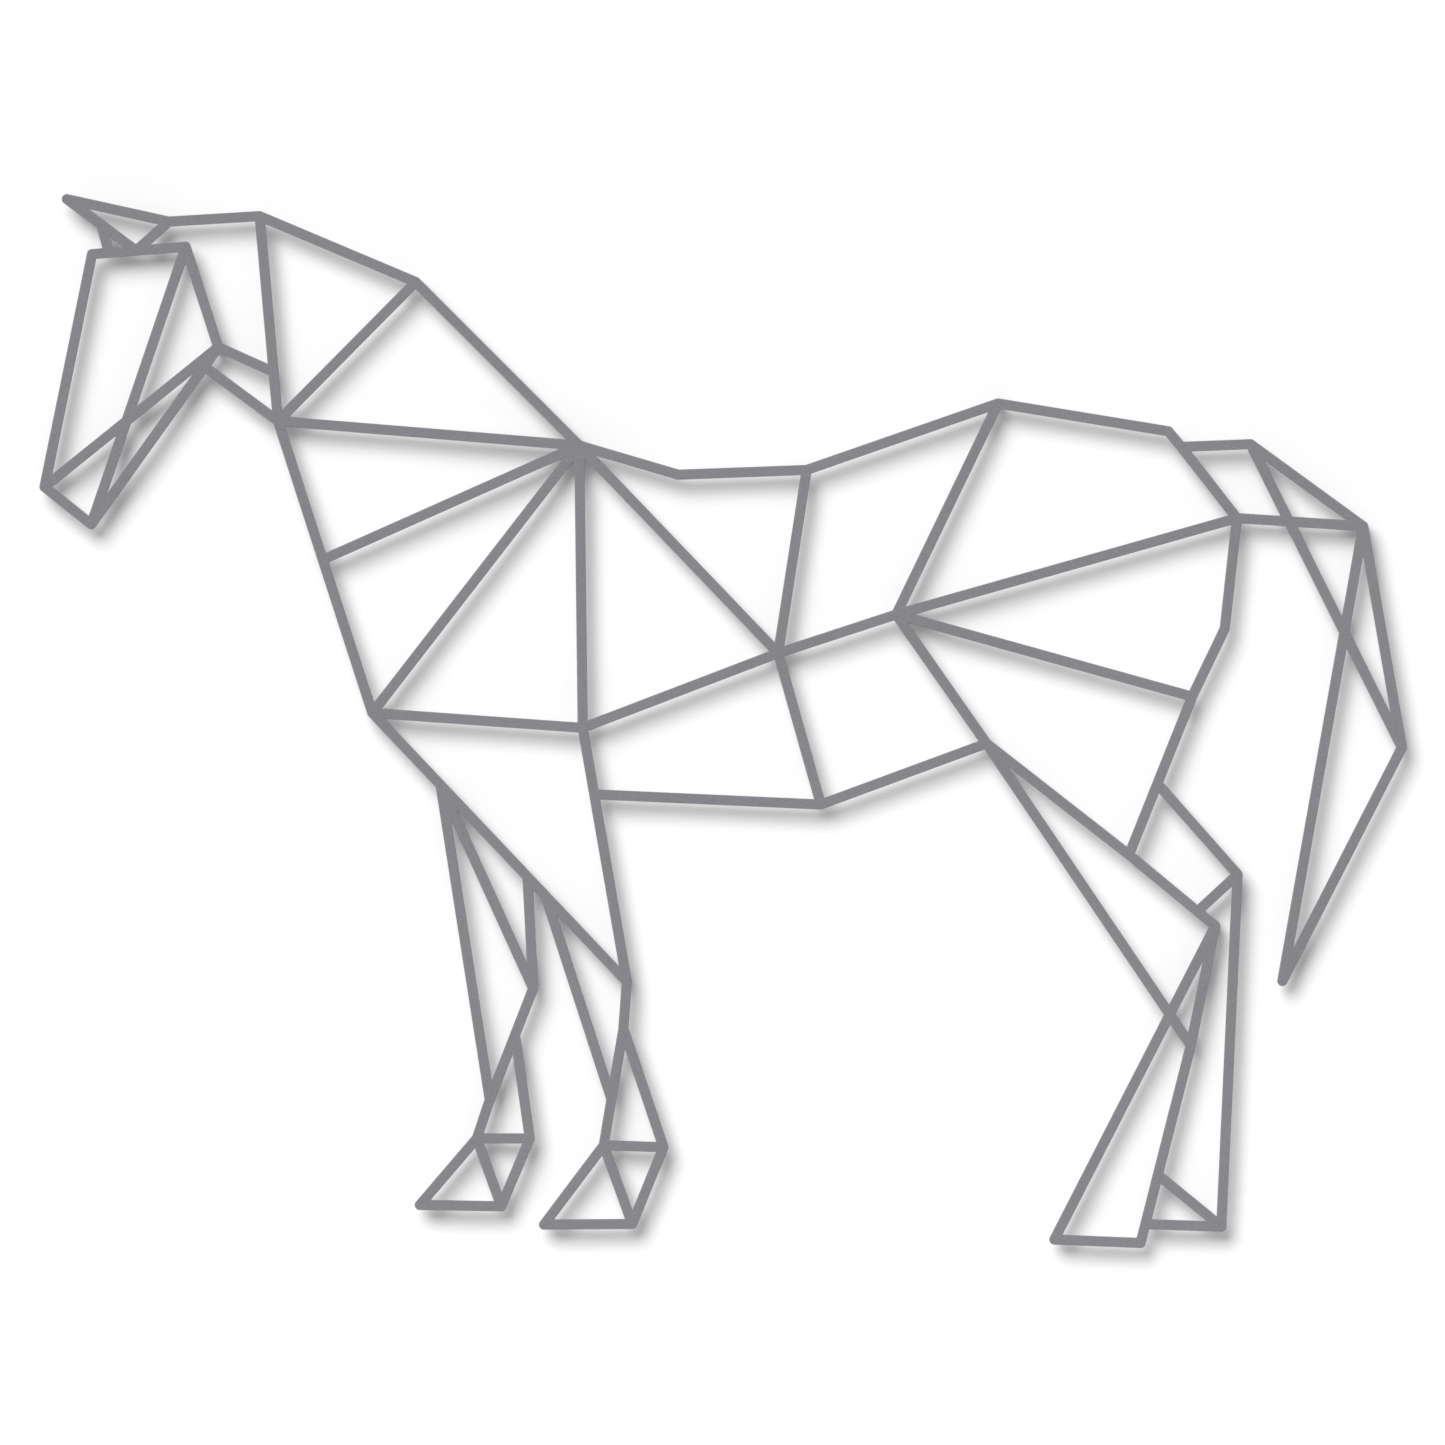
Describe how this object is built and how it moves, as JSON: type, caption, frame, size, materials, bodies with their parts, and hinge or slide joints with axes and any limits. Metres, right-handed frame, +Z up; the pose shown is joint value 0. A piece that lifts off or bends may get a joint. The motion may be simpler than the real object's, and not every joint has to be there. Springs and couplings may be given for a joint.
{
  "type": "geometric horse wall sculpture",
  "caption": "Flat openwork horse in profile made of straight bars and open facets, cut from steel sheet and held off a wall by short round stand-offs.",
  "frame": {"origin": "middle of the wall end of the stand-off behind the withers, on the wall plane", "axes": "+Y into the wall, so the horse is seen from -Y; +Z up; +X towards the tail, with the head towards -X"},
  "size_m": [0.9139, 0.015, 0.7044],
  "materials": {
    "powder_coat": "satin grey powder coat on steel"
  },
  "bodies": {
    "root": {"horse": "powder_coat", "standoff_withers": "powder_coat", "standoff_croup": "powder_coat", "standoff_jaw": "powder_coat", "standoff_tail_bend": "powder_coat", "standoff_near_knee": "powder_coat", "standoff_hock": "powder_coat"}
  },
  "joints": []
}
